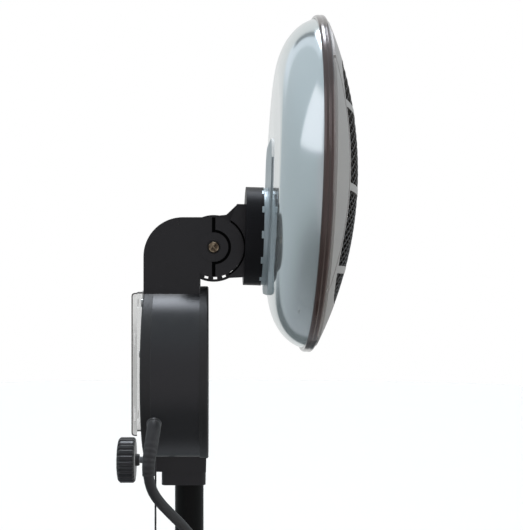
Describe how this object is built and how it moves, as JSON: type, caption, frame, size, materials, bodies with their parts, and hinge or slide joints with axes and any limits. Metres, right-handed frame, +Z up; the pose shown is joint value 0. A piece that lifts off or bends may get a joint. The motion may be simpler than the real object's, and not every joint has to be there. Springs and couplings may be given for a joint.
{
  "type": "outdoor quartz heater",
  "caption": "Standing outdoor heater: a round tilting radiant head on an elbow joint, a control drum with pull cord and clamp knob, a slim pole and a round weighted base.",
  "frame": {"origin": "on the floor under the pole's axis", "axes": "+Z up along the pole; -Y is the way the heater faces; +X is to the right of someone who looks at the front"},
  "size_m": [0.4, 0.5847, 1.8027],
  "materials": {
    "shell_paint": "glossy silver blue-grey paint",
    "front_metal": "satin silver paint",
    "rim_paint": "glossy bronze-black paint",
    "mesh_paint": "heat-proof black",
    "reflector_metal": "polished",
    "zinc_steel": "zinc plated",
    "quartz_glass": "clear",
    "white_ceramic": "unglazed",
    "black_moulding": "fine matt grain",
    "drum_moulding": "semi-gloss",
    "knob_moulding": "satin",
    "terminal_moulding": "plain",
    "bracket_paint": "satin grey-brown paint",
    "clamp_brass": "turned",
    "pad_nylon": "plain",
    "pole_paint": "black powder coat",
    "base_moulding": "fine grain",
    "ballast_iron": "primed",
    "foot_rubber": "matt",
    "lead_rubber": "matt",
    "string_braid": "braided"
  },
  "bodies": {
    "stand": {"pole_upper": "pole_paint", "pole_coupler": "zinc_steel", "pole_lower": "pole_paint", "pole_trim": "base_moulding", "base_cover": "base_moulding", "base_weight": "ballast_iron", "base_hub": "zinc_steel", "base_bolt": "zinc_steel", "foot_front": "foot_rubber", "foot_back": "foot_rubber", "foot_left": "foot_rubber", "foot_right": "foot_rubber", "clip_upper": "base_moulding", "clip_lower": "base_moulding", "power_cord": "lead_rubber", "cord_coil": "lead_rubber", "mains_plug": "lead_rubber"},
    "unit": {"elbow_left": "black_moulding", "elbow_right": "black_moulding", "pivot_bolt": "zinc_steel", "pivot_nut": "zinc_steel", "drum_body": "drum_moulding", "drum_front": "drum_moulding", "drum_back": "drum_moulding", "cover_screw_left": "zinc_steel", "cover_screw_right": "zinc_steel", "terminal_block": "terminal_moulding", "pull_switch": "black_moulding", "wall_bracket": "bracket_paint", "bracket_screw_top": "zinc_steel", "bracket_screw_bottom": "zinc_steel", "pole_socket": "black_moulding", "clamp_insert": "clamp_brass", "cord_gland": "lead_rubber", "cord_boot": "lead_rubber"},
    "head": {"head_shell": "shell_paint", "back_plate": "zinc_steel", "rim_band": "rim_paint", "front_panel": "front_metal", "side_cap_left": "front_metal", "side_cap_right": "front_metal", "guard_mesh": "mesh_paint", "reflector": "reflector_metal", "post_upper": "zinc_steel", "post_lower": "zinc_steel", "quartz_tube_upper": "quartz_glass", "quartz_tube_lower": "quartz_glass", "ceramic_upper_left": "white_ceramic", "ceramic_upper_right": "white_ceramic", "ceramic_lower_left": "white_ceramic", "ceramic_lower_right": "white_ceramic", "mount_flange": "black_moulding", "flange_screw_left": "zinc_steel", "flange_screw_right": "zinc_steel", "tilt_knuckle": "black_moulding"},
    "pad": {"clamp_pad": "pad_nylon"},
    "knob": {"clamp_screw": "zinc_steel", "clamp_knob": "knob_moulding"},
    "pull": {"pull_string": "string_braid", "pull_handle": "black_moulding"}
  },
  "joints": [
    {"name": "unit_swivel", "type": "hinge", "parent": "stand", "child": "unit", "pos_m": [0, 0, 1.405], "axis": [0, 0, 1], "range_deg": [-90, 90], "deforming": ["power_cord"]},
    {"name": "head_tilt", "type": "hinge", "parent": "unit", "child": "head", "pos_m": [0, -0.0217, 1.6], "axis": [1, 0, 0], "range_deg": [0, 35]},
    {"name": "clamp_slide", "type": "slide", "parent": "unit", "child": "pad", "axis": [0, 1, 0], "range_m": [0, 0.0025]},
    {"name": "clamp_turn", "type": "hinge", "parent": "pad", "child": "knob", "pos_m": [0, 0.05, 1.4114], "axis": [0, 1, 0], "range_deg": [0, 720]},
    {"name": "pull_cord", "type": "slide", "parent": "unit", "child": "pull", "axis": [0, 0, -1], "range_m": [0, 0.01], "stiffness_N_per_m": 200, "springref_m": -0.005}
  ],
  "couplings": [
    {"joint": "clamp_slide", "follows": "clamp_turn", "m_per_rad": 0.000198}
  ]
}
